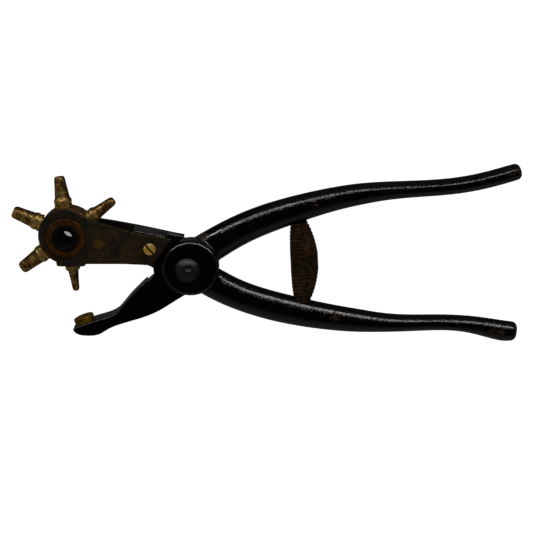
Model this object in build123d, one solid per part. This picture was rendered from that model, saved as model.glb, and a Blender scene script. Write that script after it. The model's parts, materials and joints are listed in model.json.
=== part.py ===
from build123d import *
import math
import os

# Rotary hole punch: lap-joint pliers whose upper jaw carries a turret of six
# punch tubes and whose lower jaw carries a soft brass anvil.
# Frame: origin on the pivot axis at the rear rest plane, +X towards the handle
# ends, +Y towards the upper handle, +Z along the pivot towards its domed head.
# The tool is modelled open, as its spring holds it. All sizes in millimetres.

# Heights along the pivot axis
MID_Z = 9.2                   # middle plane of jaws, turret and handles
PLATE_THICK = 2.2             # each side plate of the head
HEAD_THICK = 16.0             # over both side plates
FRONT_Z = MID_Z + HEAD_THICK / 2
REAR_Z = MID_Z - HEAD_THICK / 2
INNER_FRONT_Z = FRONT_Z - PLATE_THICK
INNER_REAR_Z = REAR_Z + PLATE_THICK
LAP_GAP = 0.3                 # between the two halves of the lap joint
SIDE_GAP = 0.3                # between the wheel or web and a side plate

# Lap joint round the pivot
BOSS_R = 12.8                 # front boss, on the anvil lever
BOSS_FRONT_Z = 18.4
REAR_BOSS_R = 11.2
BOSS_BEVEL = 1.2
BOSS_RELIEF_R = 13.2
WEB_R = 17.0                  # front half of the anvil lever, jaw side
WEB_RELIEF_R = 17.4
CHEEK_R = 21.2                # rear half of the turret lever, jaw side
CHEEK_RELIEF_R = 21.6
PIVOT_R = 3.2
PIVOT_RUN = 0.06
PIVOT_HEAD_R = 5.6
PIVOT_HEAD_RISE = 2.4
PIVOT_HEAD_X = -1.4           # the hammered head sits a little off the axis
PIVOT_HEAD_Y = -0.8
PIVOT_DIMPLE_X = -0.4
PIVOT_DIMPLE_Y = 0.9
BURR_R = 6.2

# Turret
HUB_X = -55.6
HUB_Y = 13.9
WHEEL_R = 12.8
WHEEL_BORE_R = 4.66
TUBE_SWEEP_R = 29.8           # cut in the jaw block, clear of the tubes
ACTIVE_ANGLE = -83.4          # direction of the tube that faces the anvil
# Tubes anticlockwise from the active one: bore, outer diameter at the edge and
# at the foot, collar diameter, and reach of the edge from the hub axis
TUBES = [
    (2.0, 3.3, 4.6, 6.8, 26.4),
    (3.0, 4.3, 5.4, 7.0, 26.4),
    (2.5, 4.3, 5.6, 7.0, 26.4),
    (3.5, 5.1, 6.7, 8.0, 26.6),
    (4.0, 5.9, 6.9, 8.0, 26.5),
    (4.5, 5.8, 6.9, 8.0, 26.6),
]
TUBE_ROOT_R = 3.0             # threaded end in the wheel's socket
SOCKET_FLOOR = 7.4            # inner end of each tube, from the hub axis
COLLAR_END = 16.4
TUBE_SHOULDER = 17.2

# Hollow axle of the turret
AXLE_R = 4.6
AXLE_BORE_R = 3.0
AXLE_LEDGE_R = 3.9            # step inside the flared front end
AXLE_FLANGE_R = 6.1
AXLE_FLANGE = 0.7
WASHER_R = 8.8
WASHER_THICK = 0.8
REAR_WASHER_R = 7.2
REAR_WASHER_THICK = 0.6

# Side plates
REAR_HEAD_R = 12.2
FRONT_HEAD_R = 11.4           # the front plate's head sits off the hub axis
FRONT_HEAD_X = HUB_X - 0.7
FRONT_HEAD_Y = HUB_Y + 1.4
PLATE_HEEL = (-17.0, 1.2)     # lower corner by the pivot
PLATE_TOE = (-8.2, 13.2)      # upper corner by the pivot
SCREW_X = -18.2
SCREW_Y = 8.7
SCREW_R = 1.8
SCREW_HEAD_R = 2.7
SCREW_HEAD_RISE = 1.1
SCREW_SLOT = 0.95
SCREW_SLOT_ANGLE = -50

# Index spring on the back of the head
NIB_ANGLE = -28.0
NIB_RING_R = 10.0
NIB_R = 1.0
NIB_CLEAR = 0.15
NIB_DEPTH = 0.5
LEAF_THICK = 0.7
LEAF_WIDTH = 4.6
LEAF_TAIL_X = -33.5
LEAF_RIVET_R = 1.1

# Jaw motion and anvil
CLOSING_ANGLE = 12.9
ANVIL_GAP = 0.3               # left between tube and anvil when closed
ANVIL_SHIFT = 1.5             # anvil centre beyond the tube, along its face
ANVIL_R = 4.7
ANVIL_RISE = 2.8
ANVIL_STEM_R = 1.9
ANVIL_STEM = 4.0
SEAT_OUTER = 0.7              # seat left round the anvil, at the nose
SEAT_INNER = 1.1              # and on the side of the neck

# Spring between the handles
SPRING_TOP = (48.6, 17.6)
SPRING_BOTTOM = (50.2, -14.7)
SPRING_END_R = 4.2
SPRING_BELLY_R = 6.5
SPRING_WALL = 0.9
STUD_R = 2.4
STUD_REACH = 4.0              # length of stud inside the spring
STUD_ROOT = 3.8               # length of stud inside the handle

# Handle stations from root to end: x, y, width, thickness
UPPER_HANDLE = [
    (4.5, 5.8, 14.8, 10.5),
    (15.0, 11.9, 14.4, 11.2),
    (27.0, 18.1, 13.7, 11.0),
    (43.2, 24.1, 12.8, 10.6),
    (59.4, 28.8, 11.3, 10.0),
    (75.5, 32.2, 9.9, 9.4),
    (91.6, 34.1, 8.2, 9.0),
    (107.8, 35.1, 7.5, 8.6),
    (124.0, 36.9, 7.5, 8.6),
    (136.0, 39.6, 7.6, 8.6),
    (148.1, 43.1, 7.4, 8.4),
]
LOWER_HANDLE = [
    (4.5, -5.4, 13.8, 10.5),
    (15.0, -11.5, 14.0, 11.2),
    (27.0, -16.6, 13.7, 11.0),
    (43.2, -21.2, 13.5, 10.6),
    (59.8, -24.5, 12.4, 10.2),
    (76.4, -26.7, 10.7, 9.6),
    (93.0, -27.8, 8.3, 9.0),
    (109.5, -27.6, 7.4, 8.6),
    (122.0, -27.9, 7.5, 8.6),
    (134.2, -29.8, 8.8, 8.6),
    (149.0, -31.6, 8.3, 8.4),
]
HANDLE_END_ROUND = 2.6

HUB = Pos(HUB_X, HUB_Y, 0)


def disc(radius, z_low, z_high, x=0.0, y=0.0):
    """Upright cylinder between two heights."""
    return Pos(x, y, (z_low + z_high) / 2) * Cylinder(radius, z_high - z_low)


def slab(face, z_low, z_high):
    """Flat face drawn in the XY plane, made solid between two heights."""
    return Pos(0, 0, z_low) * extrude(face, z_high - z_low)


def turned(point, degrees):
    """Point turned about the pivot axis, anticlockwise seen from +Z."""
    angle = math.radians(degrees)
    x, y = point
    return (
        x * math.cos(angle) - y * math.sin(angle),
        x * math.sin(angle) + y * math.cos(angle),
    )


def revolved(points):
    """Solid turned about Z from a closed outline of (radius, height)."""
    outline = Polyline(*[(r, 0, z) for r, z in points], close=True)
    return revolve(make_face(outline), Axis.Z, 360)


def soften(solid, radius):
    """Rounds the long edges of a slab's front and rear faces."""
    ends = solid.faces().filter_by(Axis.Z).sort_by(Axis.Z)
    edges = ends[0].edges() + ends[-1].edges()
    return fillet(edges, radius)


def handle_bar(stations):
    """Forged bar of oval section through the stations, with a rounded end."""
    sections = []
    for index, (x, y, width, thick) in enumerate(stations):
        before = stations[max(index - 1, 0)]
        after = stations[min(index + 1, len(stations) - 1)]
        along = Vector(after[0] - before[0], after[1] - before[1], 0)
        across = Plane(origin=(x, y, MID_Z), x_dir=(0, 0, 1), z_dir=along)
        sections.append(across * Ellipse(thick / 2, width / 2))
    bar = loft(sections)
    tip = bar.faces().filter_by(GeomType.PLANE).sort_by(Axis.X)[-1]
    return fillet(tip.edges(), HANDLE_END_ROUND)


# Outlines in the XY plane

def shank_face(top_edge):
    """Straight lower edge, given top edge and slanted end by the pivot."""
    head_x, head_y = top_edge[-1]
    return make_face([
        Line((HUB_X, 1.8), (-29.5, 1.8)),
        Line((-29.5, 1.8), PLATE_HEEL),
        Line(PLATE_HEEL, top_edge[0]),
        Spline(*top_edge),
        Line((head_x, head_y), (HUB_X, HUB_Y)),
        Line((HUB_X, HUB_Y), (HUB_X, 1.8)),
    ])


def front_plate_face():
    """Front side plate: its top edge sweeps up to the top of the head."""
    sweep = [PLATE_TOE, (-22.3, 15.6), (-37.0, 19.7), (-49.4, 24.0)]
    chin = Pos(HUB_X + 2.0, 3.4) * RectangleRounded(13.2, 5.4, 1.2)
    head = Pos(FRONT_HEAD_X, FRONT_HEAD_Y) * Circle(FRONT_HEAD_R)
    return head + shank_face(sweep) + chin


def rear_plate_face():
    """Rear side plate: its top edge runs nearly straight into the head."""
    straight = [PLATE_TOE, (-22.3, 16.3), (-36.1, 18.9), (-45.2, 20.3)]
    head = Pos(HUB_X, HUB_Y) * Circle(REAR_HEAD_R)
    return head + shank_face(straight)


def cheek_face():
    """Rear half of the turret lever between the upper jaw and the boss."""
    return make_face([
        Spline((-3.0, 12.8), (-8.8, 13.9), (-22.0, 16.2)),
        Line((-22.0, 16.2), (-22.0, -0.2)),
        Spline((-22.0, -0.2), (-19.0, -1.2), (-15.8, -3.3)),
        Line((-15.8, -3.3), (-7.5, -9.3)),
        Line((-7.5, -9.3), (-3.0, 12.8)),
    ])


def anvil_frame():
    """Centre of the anvil's face and its outward normal, jaws open."""
    active = math.radians(ACTIVE_ANGLE)
    reach = TUBES[0][-1] + ANVIL_GAP
    contact = (
        HUB_X + reach * math.cos(active),
        HUB_Y + reach * math.sin(active),
    )
    along = (math.sin(active), -math.cos(active))
    centre = (
        contact[0] + along[0] * ANVIL_SHIFT,
        contact[1] + along[1] * ANVIL_SHIFT,
    )
    normal = (-math.cos(active), -math.sin(active))
    return turned(centre, CLOSING_ANGLE), turned(normal, CLOSING_ANGLE)


def lower_jaw_face():
    """Lower jaw from the boss to the nose under the anvil."""
    centre, normal = anvil_frame()
    seat = (
        centre[0] - normal[0] * ANVIL_RISE,
        centre[1] - normal[1] * ANVIL_RISE,
    )
    outer = ANVIL_R + SEAT_OUTER
    inner = ANVIL_R + SEAT_INNER
    seat_out = (seat[0] - normal[1] * outer, seat[1] + normal[0] * outer)
    seat_in = (seat[0] + normal[1] * inner, seat[1] - normal[0] * inner)
    nose = Spline(
        seat_out, (-53.9, -30.2), (-52.2, -31.8), (-48.0, -32.6),
        (-42.0, -31.9), (-38.0, -29.5), (-34.0, -27.7), (-24.0, -24.6),
        (-14.5, -20.7), (-6.0, -15.3), (-1.2, -12.6),
    )
    neck = Spline(
        seat_in, (-38.5, -23.8), (-34.0, -21.6), (-30.0, -17.1),
        (-24.0, -10.6), (-19.5, -6.3), (-16.3, -3.6),
    )
    return make_face([
        nose,
        Line((-1.2, -12.6), (-4.0, 4.0)),
        Line((-4.0, 4.0), (-16.3, -3.6)),
        neck,
        Line(seat_in, seat_out),
    ])


def web_face():
    """Front half of the anvil lever that slides under the front plate."""
    start = math.radians(195)
    end = math.radians(148)
    low = (WEB_R * math.cos(start), WEB_R * math.sin(start))
    high = (WEB_R * math.cos(end), WEB_R * math.sin(end))
    return make_face([
        RadiusArc(low, high, WEB_R),
        Line(high, (-5.5, 10.6)),
        Line((-5.5, 10.6), (0.0, 0.0)),
        Line((0.0, 0.0), low),
    ])


# Turret lever side

def make_side_plate(face, z_low):
    plate = slab(face, z_low, z_low + PLATE_THICK)
    plate -= disc(AXLE_R, z_low - 1, z_low + 5, HUB_X, HUB_Y)
    plate -= disc(SCREW_R, z_low - 1, z_low + 5, SCREW_X, SCREW_Y)
    return plate


def nib_place():
    angle = math.radians(NIB_ANGLE)
    x = HUB_X + NIB_RING_R * math.cos(angle)
    y = HUB_Y + NIB_RING_R * math.sin(angle)
    return x, y


def make_rear_plate():
    plate = make_side_plate(rear_plate_face(), REAR_Z)
    nib_x, nib_y = nib_place()
    plate -= disc(NIB_R + NIB_CLEAR, 0, INNER_REAR_Z + 1, nib_x, nib_y)
    plate -= disc(LEAF_RIVET_R, 0, INNER_REAR_Z + 1, LEAF_TAIL_X, nib_y)
    return plate


def make_turret_lever():
    lap_z = MID_Z - LAP_GAP / 2
    block_face = rear_plate_face() - Pos(HUB_X, HUB_Y) * Circle(TUBE_SWEEP_R)
    block_face -= Circle(WEB_RELIEF_R)
    lever = slab(block_face, INNER_REAR_Z, INNER_FRONT_Z)
    cheek = cheek_face() & Circle(CHEEK_R)
    lever += slab(cheek, INNER_REAR_Z, lap_z)
    bar = handle_bar(LOWER_HANDLE)
    bar -= disc(BOSS_RELIEF_R, lap_z, FRONT_Z + 5)
    lever += bar
    boss = disc(REAR_BOSS_R, REAR_Z, lap_z)
    lever += chamfer(boss.faces().sort_by(Axis.Z)[0].edges(), BOSS_BEVEL)
    lever -= disc(PIVOT_R, -5, FRONT_Z + 5)
    lever -= disc(SCREW_R, -5, FRONT_Z + 5, SCREW_X, SCREW_Y)
    return lever


def make_pivot_rivet():
    """Shank with a low domed head, dimpled where it was centred."""
    base = BOSS_FRONT_Z + 0.12
    rise = PIVOT_HEAD_RISE
    ball_r = (PIVOT_HEAD_R ** 2 + rise ** 2) / (2 * rise)
    dome = Pos(0, 0, base + rise - ball_r) * Sphere(ball_r)
    dome &= disc(PIVOT_HEAD_R, base, base + rise + 1)
    dome = Pos(PIVOT_HEAD_X, PIVOT_HEAD_Y, 0) * dome
    dimple = Cone(0.7, 2.1, 1.4)
    dome -= Pos(PIVOT_DIMPLE_X, PIVOT_DIMPLE_Y, base + rise - 0.6) * dimple
    return dome + disc(PIVOT_R, 0, base)


def make_pivot_burr():
    burr = disc(BURR_R, 0, REAR_Z)
    burr = chamfer(burr.faces().sort_by(Axis.Z)[0].edges(), 0.4)
    return burr - disc(PIVOT_R, -1, REAR_Z + 1)


def make_turret_axle():
    front = FRONT_Z + WASHER_THICK
    rear = REAR_Z - REAR_WASHER_THICK
    return HUB * revolved([
        (AXLE_BORE_R, 0.4),
        (AXLE_BORE_R, FRONT_Z - 0.2),
        (AXLE_BORE_R + 0.4, FRONT_Z + 0.2),
        (AXLE_LEDGE_R, FRONT_Z + 0.2),
        (AXLE_LEDGE_R + 0.2, front + 0.1),
        (AXLE_FLANGE_R - 1.1, front + AXLE_FLANGE),
        (AXLE_FLANGE_R - 0.3, front + AXLE_FLANGE),
        (AXLE_FLANGE_R, front + AXLE_FLANGE - 0.3),
        (AXLE_FLANGE_R, front),
        (AXLE_R, front),
        (AXLE_R, rear),
        (AXLE_FLANGE_R, rear),
        (AXLE_FLANGE_R, 0),
        (AXLE_BORE_R + 0.4, 0),
    ])


def make_washer(outer_r, z_low, thick):
    washer = disc(outer_r, z_low, z_low + thick, HUB_X, HUB_Y)
    washer = chamfer(washer.faces().sort_by(Axis.Z)[-1].edges(), thick * 0.3)
    return washer - disc(AXLE_R, z_low - 1, z_low + 5, HUB_X, HUB_Y)


def make_plate_screw():
    head_r = SCREW_HEAD_R
    rise = SCREW_HEAD_RISE
    ball_r = (head_r ** 2 + rise ** 2) / (2 * rise)
    head = Pos(SCREW_X, SCREW_Y, FRONT_Z + rise - ball_r) * Sphere(ball_r)
    head &= disc(head_r, FRONT_Z, FRONT_Z + rise + 1, SCREW_X, SCREW_Y)
    slot = Pos(SCREW_X, SCREW_Y, FRONT_Z + rise) * Rot(0, 0, SCREW_SLOT_ANGLE)
    head -= slot * Box(3 * head_r, SCREW_SLOT, 2 * rise - 0.2)
    return head + disc(SCREW_R, REAR_Z - 0.4, FRONT_Z, SCREW_X, SCREW_Y)


def make_index_spring():
    nib_x, nib_y = nib_place()
    length = LEAF_TAIL_X - nib_x
    leaf_face = Pos(nib_x + length / 2, nib_y) * SlotCenterToCenter(
        length, LEAF_WIDTH)
    leaf = slab(leaf_face, REAR_Z - LEAF_THICK, REAR_Z)
    nib_top = INNER_REAR_Z + SIDE_GAP + NIB_DEPTH - NIB_CLEAR
    leaf += disc(NIB_R, REAR_Z, nib_top, nib_x, nib_y)
    return leaf - disc(LEAF_RIVET_R, -1, 5, LEAF_TAIL_X, nib_y)


def make_index_rivet():
    nib_y = nib_place()[1]
    head_low = REAR_Z - LEAF_THICK - 0.4
    head = disc(2.0, head_low, REAR_Z - LEAF_THICK, LEAF_TAIL_X, nib_y)
    head = fillet(head.faces().sort_by(Axis.Z)[0].edges(), 0.3)
    shank = disc(LEAF_RIVET_R, REAR_Z - LEAF_THICK, INNER_REAR_Z,
                 LEAF_TAIL_X, nib_y)
    return head + shank


# Turret

def tube_place(angle):
    """Frame at the hub's middle whose Z axis runs out along one tube."""
    radial = (math.cos(math.radians(angle)), math.sin(math.radians(angle)), 0)
    return Plane(origin=(HUB_X, HUB_Y, MID_Z), x_dir=(0, 0, 1), z_dir=radial)


def tube_angles():
    step = 360 / len(TUBES)
    return [ACTIVE_ANGLE + index * step for index in range(len(TUBES))]


def make_turret_wheel():
    low = INNER_REAR_Z + SIDE_GAP
    high = INNER_FRONT_Z - SIDE_GAP
    wheel = soften(disc(WHEEL_R, low, high), 0.8)
    wheel -= disc(WHEEL_BORE_R, low - 1, high + 1)
    wheel = HUB * wheel
    dimple = Cylinder(NIB_R + NIB_CLEAR, 2 * NIB_DEPTH)
    nib_lead = NIB_ANGLE - ACTIVE_ANGLE
    for angle in tube_angles():
        socket = Pos(0, 0, SOCKET_FLOOR + 5) * Cylinder(TUBE_ROOT_R, 10)
        wheel -= tube_place(angle) * socket
        turn = Pos(HUB_X, HUB_Y, low) * Rot(0, 0, angle + nib_lead)
        wheel -= turn * Pos(NIB_RING_R, 0, 0) * dimple
    return wheel


def make_punch_tube(bore, edge, foot, collar, reach, angle):
    """Screwed-in tube: threaded root, grooved collar, taper, blunted edge."""
    bore_r = bore / 2
    tip_r = edge / 2
    foot_r = foot / 2
    collar_r = collar / 2
    wall = tip_r - bore_r
    profile = [
        (bore_r, SOCKET_FLOOR),
        (TUBE_ROOT_R, SOCKET_FLOOR),
        (TUBE_ROOT_R, WHEEL_R),
        (collar_r, WHEEL_R),
        (collar_r, WHEEL_R + 1.1),
        (collar_r - 0.35, WHEEL_R + 1.3),
        (collar_r - 0.35, WHEEL_R + 1.6),
        (collar_r, WHEEL_R + 1.8),
        (collar_r, COLLAR_END - 0.4),
        (collar_r - 0.3, COLLAR_END),
        (foot_r, TUBE_SHOULDER),
        ((foot_r + 2 * tip_r) / 3, (TUBE_SHOULDER + reach) / 2),
        (tip_r, reach - 1.6),
        (tip_r - 0.2 * wall, reach - 0.8),
        (tip_r - 0.5 * wall, reach - 0.3),
        (tip_r - 0.85 * wall, reach),
        (bore_r, reach),
    ]
    return tube_place(angle) * revolved(profile)


# Anvil lever side

def make_anvil_lever():
    lap_z = MID_Z + LAP_GAP / 2
    jaw = slab(lower_jaw_face(), INNER_REAR_Z, INNER_FRONT_Z - SIDE_GAP)
    jaw -= disc(CHEEK_RELIEF_R, -5, lap_z)
    web = slab(web_face(), lap_z, INNER_FRONT_Z - SIDE_GAP)
    bar = handle_bar(UPPER_HANDLE)
    bar -= disc(BOSS_RELIEF_R, -5, lap_z)
    boss = disc(BOSS_R, lap_z, BOSS_FRONT_Z)
    boss = chamfer(boss.faces().sort_by(Axis.Z)[-1].edges(), BOSS_BEVEL)
    lever = bar + boss + web + jaw
    lever -= disc(PIVOT_R + PIVOT_RUN, -5, FRONT_Z + 5)
    return lever - anvil_place() * Pos(0, 0, -ANVIL_STEM / 2) * Cylinder(
        ANVIL_STEM_R, ANVIL_STEM)


def anvil_place():
    """Frame on the anvil's seat, Z along the face normal."""
    centre, normal = anvil_frame()
    seat = (
        centre[0] - normal[0] * ANVIL_RISE,
        centre[1] - normal[1] * ANVIL_RISE,
        MID_Z,
    )
    return Plane(origin=seat, x_dir=(0, 0, 1), z_dir=(*normal, 0))


def make_anvil_disc():
    pad = Pos(0, 0, ANVIL_RISE / 2) * Cylinder(ANVIL_R, ANVIL_RISE)
    pad = fillet(pad.faces().sort_by(Axis.Z)[-1].edges(), 0.5)
    stem = Pos(0, 0, -ANVIL_STEM / 2) * Cylinder(ANVIL_STEM_R, ANVIL_STEM)
    return anvil_place() * (pad + stem)


# Handle spring and its studs

def spring_place(start, end):
    """Frame at one end of the spring, Z towards the other end."""
    along = (end[0] - start[0], end[1] - start[1], 0)
    return Plane(origin=(*start, MID_Z), x_dir=(0, 0, 1), z_dir=along)


def make_handle_spring():
    length = math.dist(SPRING_TOP, SPRING_BOTTOM)
    outer = ThreePointArc(
        (SPRING_END_R, 0, 0),
        (SPRING_BELLY_R, 0, length / 2),
        (SPRING_END_R, 0, length),
    )
    inner = ThreePointArc(
        (SPRING_END_R - SPRING_WALL, 0, length),
        (SPRING_BELLY_R - SPRING_WALL, 0, length / 2),
        (SPRING_END_R - SPRING_WALL, 0, 0),
    )
    barrel = revolve(make_face([
        outer,
        Line(outer @ 1, inner @ 0),
        inner,
        Line(inner @ 1, outer @ 0),
    ]), Axis.Z, 360)
    return spring_place(SPRING_TOP, SPRING_BOTTOM) * barrel


def make_spring_stud(start, end, handle):
    """Peg from the inside of the handle into the end coil."""
    middle = (STUD_REACH - STUD_ROOT) / 2
    peg = Pos(0, 0, middle) * Cylinder(STUD_R, STUD_REACH + STUD_ROOT)
    peg = fillet(peg.faces().sort_by(Axis.Z)[-1].edges(), 0.8)
    return spring_place(start, end) * peg - handle


def write(shape, node):
    export_step(shape, f"parts/{node}.step")


os.makedirs("parts", exist_ok=True)
turret_lever = make_turret_lever()
anvil_lever = make_anvil_lever()
write(turret_lever, "turret_lever")
write(make_side_plate(front_plate_face(), INNER_FRONT_Z), "front_side_plate")
write(make_rear_plate(), "rear_side_plate")
write(make_plate_screw(), "plate_screw")
write(make_turret_axle(), "turret_axle")
write(make_washer(WASHER_R, FRONT_Z, WASHER_THICK), "axle_washer_front")
write(
    make_washer(REAR_WASHER_R, REAR_Z - REAR_WASHER_THICK, REAR_WASHER_THICK),
    "axle_washer_rear",
)
write(make_index_spring(), "index_spring")
write(make_index_rivet(), "index_spring_rivet")
write(make_pivot_rivet(), "pivot_rivet")
write(make_pivot_burr(), "pivot_burr")
write(make_turret_wheel(), "turret_wheel")
for (bore, edge, foot, collar, reach), angle in zip(TUBES, tube_angles()):
    name = f"punch_tube_{round(bore * 10)}"
    write(make_punch_tube(bore, edge, foot, collar, reach, angle), name)
write(anvil_lever, "anvil_lever")
write(make_anvil_disc(), "anvil_disc")
write(make_handle_spring(), "handle_spring")
write(
    make_spring_stud(SPRING_TOP, SPRING_BOTTOM, anvil_lever),
    "spring_stud_upper",
)
write(
    make_spring_stud(SPRING_BOTTOM, SPRING_TOP, turret_lever),
    "spring_stud_lower",
)
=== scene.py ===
import json
import math

import bmesh
import bpy
import numpy as np
from mathutils import Matrix, Vector
from mathutils.bvhtree import BVHTree


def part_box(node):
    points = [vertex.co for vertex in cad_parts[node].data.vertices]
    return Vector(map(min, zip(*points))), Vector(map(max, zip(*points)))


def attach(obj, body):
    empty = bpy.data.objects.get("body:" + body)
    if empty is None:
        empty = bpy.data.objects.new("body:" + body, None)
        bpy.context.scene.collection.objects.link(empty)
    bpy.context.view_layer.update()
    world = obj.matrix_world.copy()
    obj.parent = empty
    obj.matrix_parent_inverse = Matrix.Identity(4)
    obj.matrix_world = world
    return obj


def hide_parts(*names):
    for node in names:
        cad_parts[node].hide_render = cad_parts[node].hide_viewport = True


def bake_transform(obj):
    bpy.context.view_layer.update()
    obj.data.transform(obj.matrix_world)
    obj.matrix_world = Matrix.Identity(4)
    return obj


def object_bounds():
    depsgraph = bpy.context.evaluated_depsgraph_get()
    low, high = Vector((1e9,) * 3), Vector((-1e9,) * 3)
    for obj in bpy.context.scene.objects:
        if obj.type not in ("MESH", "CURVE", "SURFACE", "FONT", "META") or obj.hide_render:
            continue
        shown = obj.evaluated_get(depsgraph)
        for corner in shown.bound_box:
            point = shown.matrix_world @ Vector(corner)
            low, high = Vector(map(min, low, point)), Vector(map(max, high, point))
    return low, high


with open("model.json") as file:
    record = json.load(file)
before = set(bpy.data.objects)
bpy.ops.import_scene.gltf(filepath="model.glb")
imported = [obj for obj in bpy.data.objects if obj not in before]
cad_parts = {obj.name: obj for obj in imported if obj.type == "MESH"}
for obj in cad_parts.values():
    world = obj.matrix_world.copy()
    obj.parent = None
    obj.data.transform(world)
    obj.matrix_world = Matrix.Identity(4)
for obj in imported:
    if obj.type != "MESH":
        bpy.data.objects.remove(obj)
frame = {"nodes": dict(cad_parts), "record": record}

MM = 0.001
NODES = frame["nodes"]
SLOT_OF = {row["node"]: row["material_slot"] for row in frame["record"]["subparts"]}
CAD_LOW, CAD_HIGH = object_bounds()


def centre_of(node):
    """Middle of a CAD node's box."""
    low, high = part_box(node)
    return (low + high) / 2


PIVOT = centre_of("pivot_rivet")
HUB = centre_of("turret_axle")
SCREW = centre_of("plate_screw")
MID_Z = (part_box("rear_side_plate")[0].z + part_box("front_side_plate")[1].z) / 2
CENTRE = Vector((34.2 * MM, -1.2 * MM, MID_Z))      # what the camera looks at
UP = Vector((0.0, 0.0, 1.0))


# Node building ------------------------------------------------------------

class Shader:
    """A node material and short calls for the nodes its pattern is made of."""

    def __init__(self, name):
        self.material = bpy.data.materials.new(name)
        self.material.use_nodes = True
        self.tree = self.material.node_tree
        self.surface = self.tree.nodes["Principled BSDF"]
        place = self.tree.nodes.new("ShaderNodeTexCoord")
        self.place = place.outputs["Object"]
        self.normal = place.outputs["Normal"]

    def link(self, value, socket):
        if isinstance(value, bpy.types.NodeSocket):
            self.tree.links.new(value, socket)
        else:
            socket.default_value = value

    def node(self, kind, **settings):
        made = self.tree.nodes.new(kind)
        for key, value in settings.items():
            setattr(made, key, value)
        return made

    def noise(self, size, detail=4.0, rough=0.55, warp=0.0, stretch=None):
        """Noise whose blobs are about size metres across, 0 to 1."""
        made = self.node("ShaderNodeTexNoise")
        place = self.place
        if stretch:
            mapping = self.node("ShaderNodeMapping")
            mapping.inputs["Scale"].default_value = stretch
            self.link(place, mapping.inputs["Vector"])
            place = mapping.outputs["Vector"]
        self.link(place, made.inputs["Vector"])
        made.inputs["Scale"].default_value = 1.0 / size
        made.inputs["Detail"].default_value = detail
        made.inputs["Roughness"].default_value = rough
        made.inputs["Distortion"].default_value = warp
        return made.outputs["Fac"]

    def cells(self, size):
        """Distance to the nearest of scattered points, 1 at size metres."""
        made = self.node("ShaderNodeTexVoronoi")
        self.link(self.place, made.inputs["Vector"])
        made.inputs["Scale"].default_value = 1.0 / size
        return made.outputs["Distance"]

    def attribute(self, name):
        """A value stored on the mesh, 0 on meshes without it."""
        made = self.node("ShaderNodeAttribute", attribute_name=name)
        return made.outputs["Fac"]

    def steps(self, value, *stops):
        """Colour ramp through (place, colour) stops."""
        made = self.node("ShaderNodeValToRGB")
        ramp = made.color_ramp
        while len(ramp.elements) < len(stops):
            ramp.elements.new(0.5)
        for element, (spot, colour) in zip(ramp.elements, stops):
            element.position = spot
            element.color = (*colour, 1.0)
        self.link(value, made.inputs["Fac"])
        return made.outputs["Color"]

    def band(self, value, low, high):
        """0 at low and before it, 1 at high and past it, smooth between."""
        made = self.node("ShaderNodeMapRange", interpolation_type="SMOOTHSTEP")
        self.link(value, made.inputs["Value"])
        made.inputs["From Min"].default_value = low
        made.inputs["From Max"].default_value = high
        return made.outputs["Result"]

    def scaled(self, value, low, high):
        """0 to 1 spread over low to high."""
        made = self.node("ShaderNodeMapRange")
        self.link(value, made.inputs["Value"])
        made.inputs["To Min"].default_value = low
        made.inputs["To Max"].default_value = high
        return made.outputs["Result"]

    def math(self, operation, first, second=None):
        made = self.node("ShaderNodeMath", operation=operation)
        self.link(first, made.inputs[0])
        if second is not None:
            self.link(second, made.inputs[1])
        return made.outputs["Value"]

    def plus(self, first, second):
        return self.math("ADD", first, second)

    def minus(self, first, second):
        return self.math("SUBTRACT", first, second)

    def times(self, first, second):
        return self.math("MULTIPLY", first, second)

    def mix(self, share, first, second):
        """Colour first where share is 0, second where it is 1."""
        made = self.node("ShaderNodeMix", data_type="RGBA")
        self.link(share, made.inputs["Factor"])
        for value, socket in ((first, made.inputs[6]), (second, made.inputs[7])):
            if isinstance(value, tuple):
                value = (*value, 1.0)
            self.link(value, socket)
        return made.outputs[2]

    def blend(self, share, first, second):
        """Number first where share is 0, second where it is 1."""
        made = self.node("ShaderNodeMix", data_type="FLOAT")
        self.link(share, made.inputs["Factor"])
        self.link(first, made.inputs[2])
        self.link(second, made.inputs[3])
        return made.outputs[0]

    def bump(self, height, depth, below=None):
        """Bump of depth metres where height goes from 0 to 1."""
        made = self.node("ShaderNodeBump")
        made.inputs["Distance"].default_value = depth
        self.link(height, made.inputs["Height"])
        if below is not None:
            self.link(below, made.inputs["Normal"])
        return made.outputs["Normal"]

    def finish(self, colour, rough, metal=0.0, normal=None, shine=0.5):
        """Connects the surface and gives the material."""
        self.link(colour, self.surface.inputs["Base Color"])
        self.link(shine, self.surface.inputs["Specular IOR Level"])
        self.link(rough, self.surface.inputs["Roughness"])
        self.link(metal, self.surface.inputs["Metallic"])
        if normal is not None:
            self.link(normal, self.surface.inputs["Normal"])
        return self.material

    def offset_from(self, centre):
        """Distances in X and in Y from an upright axis through centre."""
        parts = self.node("ShaderNodeSeparateXYZ")
        self.link(self.place, parts.inputs["Vector"])
        across = self.minus(parts.outputs["X"], centre.x)
        along = self.minus(parts.outputs["Y"], centre.y)
        return across, along

    def radius_from(self, centre):
        """Distance from an upright axis through centre, in metres."""
        across, along = self.offset_from(centre)
        square = self.plus(self.times(across, across), self.times(along, along))
        return self.math("SQRT", square)

    def upward(self):
        """1 where the surface lies flat to the front or back, 0 on its sides."""
        parts = self.node("ShaderNodeSeparateXYZ")
        self.link(self.normal, parts.inputs["Vector"])
        return self.math("ABSOLUTE", parts.outputs["Z"])

    def slot_line(self, centre, angle, half_width):
        """1 on a straight slot through an upright axis, 0 beside it."""
        across, along = self.offset_from(centre)
        away = self.minus(
            self.times(along, math.cos(angle)),
            self.times(across, math.sin(angle)),
        )
        return self.band(self.math("ABSOLUTE", away), 1.15 * half_width, 0.85 * half_width)


# Materials ----------------------------------------------------------------

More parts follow.
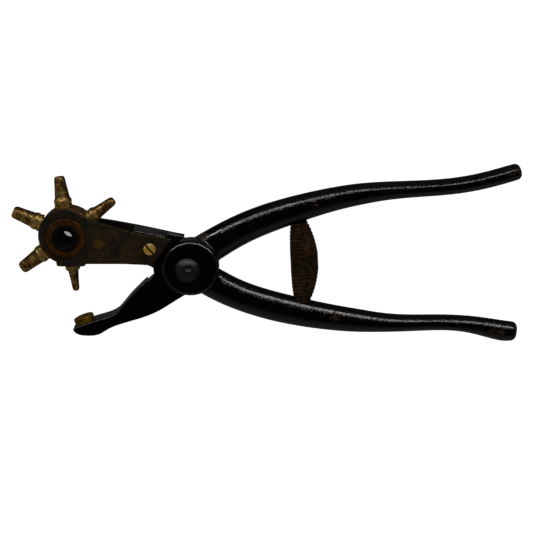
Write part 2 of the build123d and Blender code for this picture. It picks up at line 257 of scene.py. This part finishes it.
STAIN = Vector((-40.6 * MM, 11.1 * MM, 0.0))        # ochre spot on the front plate
SCREW_SLOT_ANGLE = math.radians(-50)
SCREW_SLOT_HALF = 0.45 * MM
RUST_DARK = (0.014, 0.006, 0.003)
RUST = (0.060, 0.020, 0.004)
RUST_BRIGHT = (0.20, 0.070, 0.012)


def black_japanning():
    """Glossy black enamel on a casting: lumps, chips on the ridge, rust."""
    look = Shader("black_japanning")
    ridge = look.attribute("ridge")
    edge = look.attribute("edge")
    grain = look.noise(0.9 * MM, 5, 0.7)
    chips = look.plus(grain, look.times(ridge, 0.15))
    chips = look.plus(chips, look.times(edge, 0.05))
    patch = look.noise(8 * MM, 3, 0.5)
    chips = look.plus(chips, look.times(patch, 0.14))
    chipped = look.band(chips, 0.765, 0.80)
    spots = look.times(look.noise(1.8 * MM, 6, 0.7), 0.6)
    rusted = look.band(look.plus(spots, look.attribute("rusty")), 0.48, 0.60)
    rust_tone = look.steps(
        look.noise(0.7 * MM, 6, 0.75),
        (0.40, RUST_DARK), (0.54, RUST), (0.70, RUST_BRIGHT),
    )
    dust = look.noise(3 * MM, 6, 0.7)
    enamel = look.steps(
        dust,
        (0.36, (0.0010, 0.0010, 0.0011)), (0.55, (0.0024, 0.0022, 0.0022)),
        (0.70, (0.0070, 0.0052, 0.0042)),
    )
    metal_tone = look.steps(
        look.noise(0.5 * MM, 3, 0.6),
        (0.30, (0.045, 0.018, 0.008)), (0.55, (0.15, 0.08, 0.045)),
        (0.75, (0.45, 0.36, 0.28)),
    )
    colour = look.mix(chipped, enamel, metal_tone)
    colour = look.mix(rusted, colour, rust_tone)
    gloss = look.scaled(look.noise(2.5 * MM, 5, 0.65), 0.06, 0.24)
    rough = look.blend(chipped, gloss, 0.45)
    rough = look.blend(rusted, rough, 0.8)
    lumps = look.bump(look.noise(6 * MM, 2, 0.5), 0.12 * MM)
    orange_peel = look.bump(look.noise(0.9 * MM, 3, 0.6), 0.02 * MM, lumps)
    blisters = look.times(look.noise(0.8 * MM, 3, 0.6), ridge)
    normal = look.bump(blisters, 0.2 * MM, orange_peel)
    normal = look.bump(look.minus(1.0, chipped), 0.03 * MM, normal)
    metal = look.times(rusted, 0.6)
    return look.finish(colour, rough, metal, normal, shine=0.65)


def rusty_plate():
    """Brown, mottled old steel with olive and red patches and pits."""
    look = Shader("rusty_plate")
    edge = look.attribute("edge")
    broad = look.noise(7 * MM, 5, 0.62, 0.4)
    fine = look.noise(1.6 * MM, 6, 0.7)
    streak = look.noise(2.4 * MM, 5, 0.65, 0.0, (1.0, 0.35, 1.0))
    mottle = look.plus(look.times(broad, 0.42), look.times(fine, 0.36))
    mottle = look.plus(mottle, look.times(streak, 0.22))
    tone = look.steps(
        mottle,
        (0.40, (0.008, 0.008, 0.005)),
        (0.46, (0.022, 0.016, 0.006)),
        (0.52, (0.044, 0.025, 0.006)),
        (0.58, (0.080, 0.043, 0.006)),
        (0.66, (0.034, 0.010, 0.004)),
    )
    rust = look.band(look.noise(3.2 * MM, 6, 0.68, 0.3), 0.5, 0.66)
    tone = look.mix(look.times(rust, 0.75), tone, (0.066, 0.022, 0.007))
    grey = look.band(look.noise(9 * MM, 4, 0.6), 0.52, 0.7)
    tone = look.mix(look.times(grey, 0.6), tone, (0.022, 0.023, 0.016))
    radius = look.radius_from(HUB)
    heel_start, heel_full = 26 * MM, 42 * MM
    heel = look.band(radius, heel_start, heel_full)
    tone = look.mix(look.times(heel, 0.6), tone, (0.026, 0.013, 0.005))
    head_edge, head_full = 15 * MM, 11 * MM
    head = look.band(radius, head_edge, head_full)
    tone = look.mix(look.times(head, 0.55), tone, (0.017, 0.015, 0.008))
    stain_edge, stain_full = 4.2 * MM, 0.6 * MM
    stain = look.band(look.radius_from(STAIN), stain_edge, stain_full)
    stain = look.band(look.times(stain, fine), 0.12, 0.5)
    tone = look.mix(stain, tone, (0.14, 0.070, 0.005))
    # Painted shade: the face turned towards the other plate is darkened.
    inner_face_shade = look.times(look.attribute("painted_shade"), 0.85)
    tone = look.mix(inner_face_shade, tone, (0.004, 0.0035, 0.003))
    # Worn edges of the plate, drawn lighter.
    lighter = look.band(look.plus(edge, look.times(fine, 0.6)), 0.8, 1.2)
    tone = look.mix(look.times(lighter, 0.5), tone, (0.065, 0.060, 0.048))
    rough = look.blend(lighter, look.scaled(fine, 0.45, 0.8), 0.38)
    pits = look.band(look.cells(1.3 * MM), 0.12, 0.42)
    normal = look.bump(pits, 0.04 * MM)
    normal = look.bump(look.noise(0.7 * MM, 6, 0.7), 0.06 * MM, normal)
    return look.finish(tone, rough, 0.5, normal, shine=0.35)


def aged_brass(name, dark, warm, bright, rough, shine, metal=0.4, tube=False, slotted=False):
    """Tarnished brass: grey-brown film, warm metal and bright worn spots.

    rough is the roughness of the worn spots and that of the film. A tube is
    brighter at its collar and at its tip and has a painted sheen on its faces
    toward the front and back; a slotted screw has painted shade in its slot.
    """
    look = Shader(name)
    film = look.noise(2.2 * MM, 6, 0.68)
    fine = look.noise(0.55 * MM, 5, 0.7)
    mix = look.plus(look.times(film, 0.5), look.times(fine, 0.5))
    if tube:
        radius = look.radius_from(HUB)
        collar_edge, collar_full = 17.2 * MM, 15.6 * MM
        collar = look.band(radius, collar_edge, collar_full)
        mix = look.plus(mix, look.times(collar, 0.075))
        tip_start, tip_full = 23.5 * MM, 26.0 * MM
        tip = look.band(radius, tip_start, tip_full)
        mix = look.plus(mix, look.times(tip, 0.03))
        # Painted sheen: lighter where the tube faces the front and back, darker on its
        # sides.
        lighter = look.band(look.upward(), 0.25, 0.95)
        mix = look.plus(mix, look.times(lighter, 0.10))
        mix = look.minus(mix, 0.065)
    tone = look.steps(mix, (0.41, dark), (0.51, warm), (0.63, bright))
    stain = look.band(look.noise(3.5 * MM, 5, 0.6), 0.5, 0.66)
    tone = look.mix(look.times(stain, 0.65), tone, dark)
    rough_worn, rough_film = rough
    roughness = look.scaled(mix, rough_film, rough_worn)
    scratches = look.noise(0.35 * MM, 4, 0.6)
    normal = look.bump(scratches, 0.03 * MM)
    normal = look.bump(look.noise(1.4 * MM, 4, 0.6), 0.07 * MM, normal)
    if slotted:
        # Painted shade in the screw's slot; the line runs through every depth, so the
        # screw's rear end gets it too.
        slot = look.slot_line(SCREW, SCREW_SLOT_ANGLE, SCREW_SLOT_HALF)
        tone = look.mix(slot, tone, (0.006, 0.004, 0.002))
    return look.finish(tone, roughness, metal, normal, shine)


def old_steel(name, dark, light, rust_share, rough, metal=0.6, shine=0.5, painted_shade_rim=0.0):
    """Dark steel with a worn sheen and rust in patches.

    rough is the roughness at its lowest and its highest, and painted_shade_rim
    how strongly painted shade darkens the rivet's head towards its rim.
    """
    look = Shader(name)
    cloud = look.noise(3 * MM, 6, 0.65)
    fine = look.noise(0.6 * MM, 5, 0.7)
    tone = look.steps(cloud, (0.32, dark), (0.7, light))
    rusted = look.band(look.noise(2.6 * MM, 6, 0.7), 0.62 - rust_share, 0.82 - rust_share)
    rust_tone = look.steps(fine, (0.32, RUST_DARK), (0.5, RUST), (0.68, RUST_BRIGHT))
    tone = look.mix(look.times(rusted, 0.85), tone, rust_tone)
    roughness = look.blend(rusted, look.scaled(fine, *rough), 0.75)
    # The spring strip's marked edges are drawn lighter: rubbed wear and a painted highlight.
    lighter = look.times(look.attribute("edge"), 0.8)
    tone = look.mix(lighter, tone, (0.14, 0.066, 0.018))
    # Painted shade: darker towards the rivet head's rim.
    if painted_shade_rim:
        rim_start, rim_full = 3.6 * MM, 5.2 * MM
        rim = look.band(look.radius_from(PIVOT), rim_start, rim_full)
        tone = look.mix(look.times(rim, painted_shade_rim), tone, (0.008, 0.008, 0.008))
    metal = look.blend(rusted, metal, 0.15)
    normal = look.bump(fine, 0.03 * MM)
    normal = look.bump(cloud, 0.08 * MM, normal)
    return look.finish(tone, roughness, metal, normal, shine)


MATERIALS = {
    "black_japan": black_japanning(),
    "plate_steel": rusty_plate(),
    "tube_brass": aged_brass(
        "tube_brass", dark=(0.026, 0.008, 0.001), warm=(0.15, 0.069, 0.006),
        bright=(0.66, 0.42, 0.12), rough=(0.28, 0.5), shine=0.2, tube=True,
    ),
    "screw_brass": aged_brass(
        "screw_brass", dark=(0.55, 0.30, 0.012), warm=(0.95, 0.60, 0.045),
        bright=(1.0, 0.86, 0.30), rough=(0.22, 0.42), shine=0.4, metal=0.0, slotted=True,
    ),
    "anvil_brass": aged_brass(
        "anvil_brass", dark=(0.07, 0.030, 0.002), warm=(0.25, 0.125, 0.008),
        bright=(0.60, 0.36, 0.02), rough=(0.3, 0.5), shine=0.2, metal=0.6,
    ),
    "wheel_bronze": aged_brass(
        "wheel_bronze", dark=(0.055, 0.018, 0.003), warm=(0.17, 0.062, 0.013),
        bright=(0.30, 0.13, 0.035), rough=(0.4, 0.7), shine=0.3,
    ),
    "washer_copper": aged_brass(
        "washer_copper", dark=(0.040, 0.013, 0.001), warm=(0.100, 0.036, 0.003),
        bright=(0.18, 0.070, 0.008), rough=(0.4, 0.65), shine=0.15,
    ),
    "axle_steel": old_steel(
        "axle_steel", dark=(0.001, 0.001, 0.001), light=(0.005, 0.005, 0.005),
        rust_share=-0.1, rough=(0.65, 0.9), metal=0.0, shine=0.1,
    ),
    "rivet_steel": old_steel(
        "rivet_steel", dark=(0.020, 0.020, 0.018), light=(0.055, 0.053, 0.047),
        rust_share=0.02, rough=(0.25, 0.5), painted_shade_rim=0.6,
    ),
    "spring_steel": old_steel(
        "spring_steel", dark=(0.010, 0.006, 0.002), light=(0.050, 0.029, 0.009),
        rust_share=0.17, rough=(0.35, 0.6), shine=0.3,
    ),
}


def paint(piece, slot_name):
    piece.data.materials.clear()
    piece.data.materials.append(MATERIALS[slot_name])


# Mesh helpers -------------------------------------------------------------

def coords(mesh):
    flat = np.zeros(len(mesh.vertices) * 3, np.float32)
    mesh.vertices.foreach_get("co", flat)
    return flat.reshape(-1, 3).astype(float)


def normals(mesh):
    flat = np.zeros(len(mesh.vertices) * 3, np.float32)
    mesh.vertex_normals.foreach_get("vector", flat)
    return flat.reshape(-1, 3).astype(float)


def store(mesh, name, values):
    """Keeps a value per vertex, 0 to 1, for a material's attribute."""
    made = mesh.attributes.new(name, "FLOAT", "POINT")
    made.data.foreach_set("value", np.clip(values, 0, 1).astype(np.float32))


def tree_of(node):
    """Search tree of a CAD node's surface, for ray casts."""
    mesh = NODES[node].data
    corners = [vertex.co for vertex in mesh.vertices]
    return BVHTree.FromPolygons(corners, [face.vertices for face in mesh.polygons])


def edge_wear(mesh, radius):
    """How convex the surface is round each vertex, 1 at corners of radius."""
    place, normal = coords(mesh), normals(mesh)
    pairs = np.zeros(len(mesh.edges) * 2, np.int32)
    mesh.edges.foreach_get("vertices", pairs)
    first, second = pairs.reshape(-1, 2).T
    step = place[second] - place[first]
    square = np.maximum((step ** 2).sum(1), 1e-14)      # never divides by zero
    bend = ((normal[second] - normal[first]) * step).sum(1) / square
    total = np.zeros(len(place))
    count = np.zeros(len(place))
    for ends in (first, second):
        np.add.at(total, ends, bend)
        np.add.at(count, ends, 1)
    curve = total / np.maximum(count, 1)
    for _ in range(3):
        spread = np.zeros(len(place))
        np.add.at(spread, first, curve[second])
        np.add.at(spread, second, curve[first])
        curve = 0.5 * curve + 0.5 * spread / np.maximum(count, 1)
    return np.clip(curve * radius, 0, 1)


def cast_copy(node, name, voxel, rounds, body):
    """A CAD node's shape with its corners softened, as cast or hand-filed."""
    piece = bpy.data.objects.new(name, NODES[node].data.copy())
    bpy.context.scene.collection.objects.link(piece)
    remesh = piece.modifiers.new("voxels", "REMESH")
    remesh.mode = "VOXEL"
    remesh.voxel_size = voxel
    smooth = piece.modifiers.new("smooth", "SMOOTH")
    smooth.factor = 0.5
    smooth.iterations = rounds
    graph = bpy.context.evaluated_depsgraph_get()
    mesh = bpy.data.meshes.new_from_object(piece.evaluated_get(graph))
    piece.modifiers.clear()
    piece.data = mesh
    mesh.shade_smooth()
    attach(piece, body)
    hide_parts(node)
    paint(piece, SLOT_OF[node])
    return piece


# Pieces -------------------------------------------------------------------

RIDGE_LEAN = 24             # degrees from facing the front to facing up, where handles wear
RIDGE_SPREAD = 9
RIDGE_START = 14 * MM


def lever(node, body, rust_spots):
    """A casting; rust_spots hold x, y and size in mm, and a strength."""
    piece = cast_copy(node, node + "_casting", 0.4 * MM, 6, body)
    mesh = piece.data
    place, normal = coords(mesh), normals(mesh)
    lean = np.degrees(np.arctan2(normal[:, 1], normal[:, 2]))
    ridge = np.exp(-((lean - RIDGE_LEAN) / RIDGE_SPREAD) ** 2)
    store(mesh, "ridge", ridge * (place[:, 0] > RIDGE_START))
    store(mesh, "edge", edge_wear(mesh, 1.2 * MM))
    rusty = np.zeros(len(place))
    for x, y, size, strength in rust_spots:
        away = np.hypot(place[:, 0] - x * MM, place[:, 1] - y * MM) / (size * MM)
        rusty = np.maximum(rusty, strength * np.exp(-away ** 2))
    store(mesh, "rusty", rusty)


def plate(node, body, inner_side):
    """A side plate; its inner_side, 1 for front and -1 for back, is darkened with painted
    shade.
    """
    piece = cast_copy(node, node + "_filed", 0.28 * MM, 3, body)
    store(piece.data, "edge", edge_wear(piece.data, 0.5 * MM))
    store(piece.data, "painted_shade", normals(piece.data)[:, 2] * inner_side)


UPPER_RUST = [
    (5.5, 13.5, 3.4, 0.32),
    (13.8, 3.5, 2.6, 0.3),
    (55.8, 28.3, 3.2, 0.22),
    (144.5, 42.0, 6.0, 0.23),
    (147.5, 44.0, 2.2, 0.38),
    (-54.0, -30.5, 6.0, 0.18),
]
LOWER_RUST = [
    (65.3, -23.4, 3.8, 0.28),
    (138.5, -31.5, 7.0, 0.23),
    (141.0, -31.7, 2.6, 0.38),
]
lever("anvil_lever", "anvil_side", UPPER_RUST)
lever("turret_lever", "turret_side", LOWER_RUST)
plate("front_side_plate", "turret_side", -1)
plate("rear_side_plate", "turret_side", 1)


# Handle spring ------------------------------------------------------------

SPRING_TURNS = 8.5          # from the belly to each end
STRIP_HALF = 4.4 * MM       # half the strip's width at the belly
STRIP_NARROWING = 0.25      # share of that lost at the ends
STRIP_THICK = 0.5 * MM
BELLY_R = 6.3 * MM
TIP_R = 3.5 * MM
NEST_STEP = 1.3 * MM        # radius lost evenly from the belly to each end
TAPER_POWER = 2.8           # the rest is lost late, by this power of the way
SPRING_REACH = 3.9 * MM     # how far the strip runs beyond the CAD spring
SPRING_BOW = 2.0 * MM       # how far the belly leans to the handle ends
HANDLE_GAP = 0.05 * MM      # least gap between the strip and a handle
STEPS_PER_TURN = 48
# The strip's corners: place across its width, place in its depth, edge drawn lighter as wear
# and painted highlight
STRIP_SECTION = (
    (-1, 0, 1), (-0.88, 0, 0), (0.88, 0, 0), (1, 0, 1), (1, 1, 0), (-1, 1, 0),
)


def under_handle(spot, direction, tree):
    """Keeps a point of the spring on its own side of a handle's surface."""
    start = Vector((spot.x, 0.0, spot.z))
    hit = tree.ray_cast(start, direction)[0]
    if hit is not None and (hit - start).length - HANDLE_GAP < abs(spot.y):
        spot.y = hit.y - direction.y * HANDLE_GAP


def strip_ring(turn, top, bottom, handles):
    """The strip's corners at a turn counted from the belly, - to the top."""
    length = (bottom - top).length
    axis = (bottom - top) / length
    across = Vector((-axis.y, axis.x, 0.0))
    rise = (length / 2 - STRIP_HALF) / SPRING_TURNS
    share = abs(turn) / SPRING_TURNS
    late = BELLY_R - TIP_R - NEST_STEP
    radius = BELLY_R - NEST_STEP * share - late * share ** TAPER_POWER
    half = STRIP_HALF * (1 - STRIP_NARROWING * share)
    angle = 2 * math.pi * turn
    ring = []
    for side, depth, _ in STRIP_SECTION:
        along = length / 2 + turn * rise + side * half
        out = radius - depth * STRIP_THICK
        spot = top + axis * along
        spot += across * out * math.cos(angle) + UP * out * math.sin(angle)
        spot.x += SPRING_BOW * math.sin(math.pi * min(max(along / length, 0.0), 1.0))
        for direction, tree in handles:
            if spot.y * direction.y > 0:
                under_handle(spot, direction, tree)
        ring.append(spot)
    return ring


def strip_mesh(name, top, bottom):
    """Barrel of flat strip, wound from top to bottom between the handles."""
    handles = (
        (Vector((0.0, 1.0, 0.0)), tree_of("anvil_lever")),
        (Vector((0.0, -1.0, 0.0)), tree_of("turret_lever")),
    )
    mesh = bmesh.new()
    rings = []
    for index in range(int(2 * SPRING_TURNS * STEPS_PER_TURN) + 1):
        turn = index / STEPS_PER_TURN - SPRING_TURNS
        spots = strip_ring(turn, top, bottom, handles)
        rings.append([mesh.verts.new(spot) for spot in spots])
    for before, after in zip(rings, rings[1:]):
        for corner in range(len(STRIP_SECTION)):
            beside = (corner + 1) % len(STRIP_SECTION)
            mesh.faces.new((before[corner], before[beside], after[beside], after[corner]))
    mesh.faces.new(rings[0][::-1])
    mesh.faces.new(rings[-1])
    bmesh.ops.recalc_face_normals(mesh, faces=mesh.faces)
    data = bpy.data.meshes.new(name)
    mesh.to_mesh(data)
    mesh.free()
    # Edges drawn lighter: rubbed wear and a painted highlight.
    lighter = [wear_and_highlight for _, _, wear_and_highlight in STRIP_SECTION] * len(rings)
    store(data, "edge", np.array(lighter, float))
    return data


def strip_spring():
    upper, lower = centre_of("spring_stud_upper"), centre_of("spring_stud_lower")
    box_low, box_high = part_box("handle_spring")
    axis = (lower - upper).normalized()
    top = upper + axis * ((box_high.y + SPRING_REACH - upper.y) / axis.y)
    bottom = lower + axis * ((box_low.y - SPRING_REACH - lower.y) / axis.y)
    data = strip_mesh("handle_spring_strip", top, bottom)
    piece = bpy.data.objects.new("handle_spring_strip", data)
    bpy.context.scene.collection.objects.link(piece)
    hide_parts("handle_spring")
    paint(piece, "spring_steel")
    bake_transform(piece)


strip_spring()

for node, piece in NODES.items():
    if not piece.hide_render:
        paint(piece, SLOT_OF[node])


# Stage --------------------------------------------------------------------

FLOOR_HALF = 3.0


def floor():
    """White paper that lights nothing and that nothing mirrors."""
    mesh = bpy.data.meshes.new("floor")
    far = FLOOR_HALF
    corners = [(-far, -far, 0), (far, -far, 0), (far, far, 0), (-far, far, 0)]
    mesh.from_pydata(corners, [], [(0, 1, 2, 3)])
    piece = bpy.data.objects.new("floor", mesh)
    piece.location.z = CAD_LOW.z - 0.2 * MM
    bpy.context.scene.collection.objects.link(piece)
    paper = Shader("pale_floor")
    tone = paper.steps(
        paper.noise(60 * MM, 3, 0.5),
        (0.3, (0.86, 0.86, 0.86)), (0.7, (0.9, 0.9, 0.9)),
    )
    # Painted shadow: the floor glows dimmer under the axle, where its bore shows it.
    shade_edge, shade_full = 9 * MM, 4 * MM     # dimmer where the axle's bore shows it
    axle_painted_shadow = paper.band(paper.radius_from(HUB), shade_edge, shade_full)
    glow = paper.blend(axle_painted_shadow, 0.95, 0.3)
    paper.surface.inputs["Emission Color"].default_value = (1, 1, 1, 1)
    paper.link(glow, paper.surface.inputs["Emission Strength"])
    piece.data.materials.append(paper.finish(tone, 0.7))
    piece.visible_glossy = False
    piece.visible_diffuse = False


def softbox(name, place, size, power, target):
    data = bpy.data.lights.new(name, "AREA")
    data.shape = "RECTANGLE"
    data.size, data.size_y = size
    data.energy = power
    light = bpy.data.objects.new(name, data)
    bpy.context.scene.collection.objects.link(light)
    light.location = place
    light.rotation_euler = (target - place).to_track_quat("-Z", "Y").to_euler()
    return light


KEY_LEAN = math.radians(56)
KEY_DISTANCE = 0.35
FILL_FROM = Vector((-0.45, -0.75, 0.48)) * 0.5      # from the head

# What glossy surfaces mirror of the room: axis of the direction, where the
# glow starts, where it is full, and its radiance there
ROOM_GLOW = [
    ("Y", 0.86, 0.93, 0.046),
    ("Y", -0.5, -0.9, 0.12),
    ("Z", -0.2, -0.8, 0.045),
    ("X", 0.5, 0.9, 0.07),
    ("X", -0.5, -0.9, 0.07),
]
ROOM_DARK = 0.006           # everywhere else
TENT_GLOW = 0.15            # even light on every side
BACKDROP = 1.0              # the room as the camera sees it


def lights():
    """A long strip beyond the upper handle, and a soft fill on the head."""
    key = CENTRE + Vector((0.0, math.sin(KEY_LEAN), math.cos(KEY_LEAN))) * KEY_DISTANCE
    strip = softbox("key_strip", key, (1.0, 0.03), 1.3, CENTRE)
    strip.visible_diffuse = False
    soft = softbox("key_soft", key, (1.0, 0.2), 0.36, CENTRE)
    soft.visible_glossy = False
    head = Vector((HUB.x, HUB.y, MID_Z))
    fill = softbox("head_fill", head + FILL_FROM, (0.3, 0.3), 0.32, head)
    fill.visible_glossy = False


def room():
    """A dim room for mirrors, an even tent for diffuse light, a white back."""
    world = bpy.data.worlds.new("studio")
    bpy.context.scene.world = world
    world.use_nodes = True
    tree = world.node_tree
    place = tree.nodes.new("ShaderNodeTexCoord")
    parts = tree.nodes.new("ShaderNodeSeparateXYZ")
    tree.links.new(place.outputs["Generated"], parts.inputs["Vector"])
    dark = tree.nodes.new("ShaderNodeValue")
    dark.outputs["Value"].default_value = ROOM_DARK
    total = dark.outputs["Value"]
    for axis, start, end, glow in ROOM_GLOW:
        band = tree.nodes.new("ShaderNodeMapRange")
        band.interpolation_type = "SMOOTHSTEP"
        tree.links.new(parts.outputs[axis], band.inputs["Value"])
        band.inputs["From Min"].default_value = start
        band.inputs["From Max"].default_value = end
        band.inputs["To Max"].default_value = glow
        added = tree.nodes.new("ShaderNodeMath")
        tree.links.new(band.outputs["Result"], added.inputs[0])
        tree.links.new(total, added.inputs[1])
        total = added.outputs["Value"]
    path = tree.nodes.new("ShaderNodeLightPath")
    for ray, glow in (("Is Diffuse Ray", TENT_GLOW), ("Is Camera Ray", BACKDROP)):
        choice = tree.nodes.new("ShaderNodeMix")
        tree.links.new(path.outputs[ray], choice.inputs["Factor"])
        tree.links.new(total, choice.inputs[2])
        choice.inputs[3].default_value = glow
        total = choice.outputs[0]
    background = tree.nodes["Background"]
    background.inputs["Color"].default_value = (1, 1, 1, 1)
    tree.links.new(total, background.inputs["Strength"])


CAMERA_TILT = math.radians(14)
CAMERA_DISTANCE = 0.673


def camera():
    """Long lens, tilted from the front towards the upper handle."""
    data = bpy.data.cameras.new("camera")
    data.lens = 100
    data.sensor_width = 36
    data.clip_start = 0.05
    data.clip_end = 10
    made = bpy.data.objects.new("camera", data)
    bpy.context.scene.collection.objects.link(made)
    back = Vector((0.0, math.sin(CAMERA_TILT), math.cos(CAMERA_TILT)))
    right = Vector((1.0, 0.0, 0.0))
    turned = Matrix((right, back.cross(right), back)).transposed().to_4x4()
    made.matrix_world = Matrix.Translation(CENTRE + back * CAMERA_DISTANCE) @ turned
    bpy.context.scene.camera = made


floor()
lights()
room()
camera()
bpy.context.scene.view_settings.view_transform = "Standard"
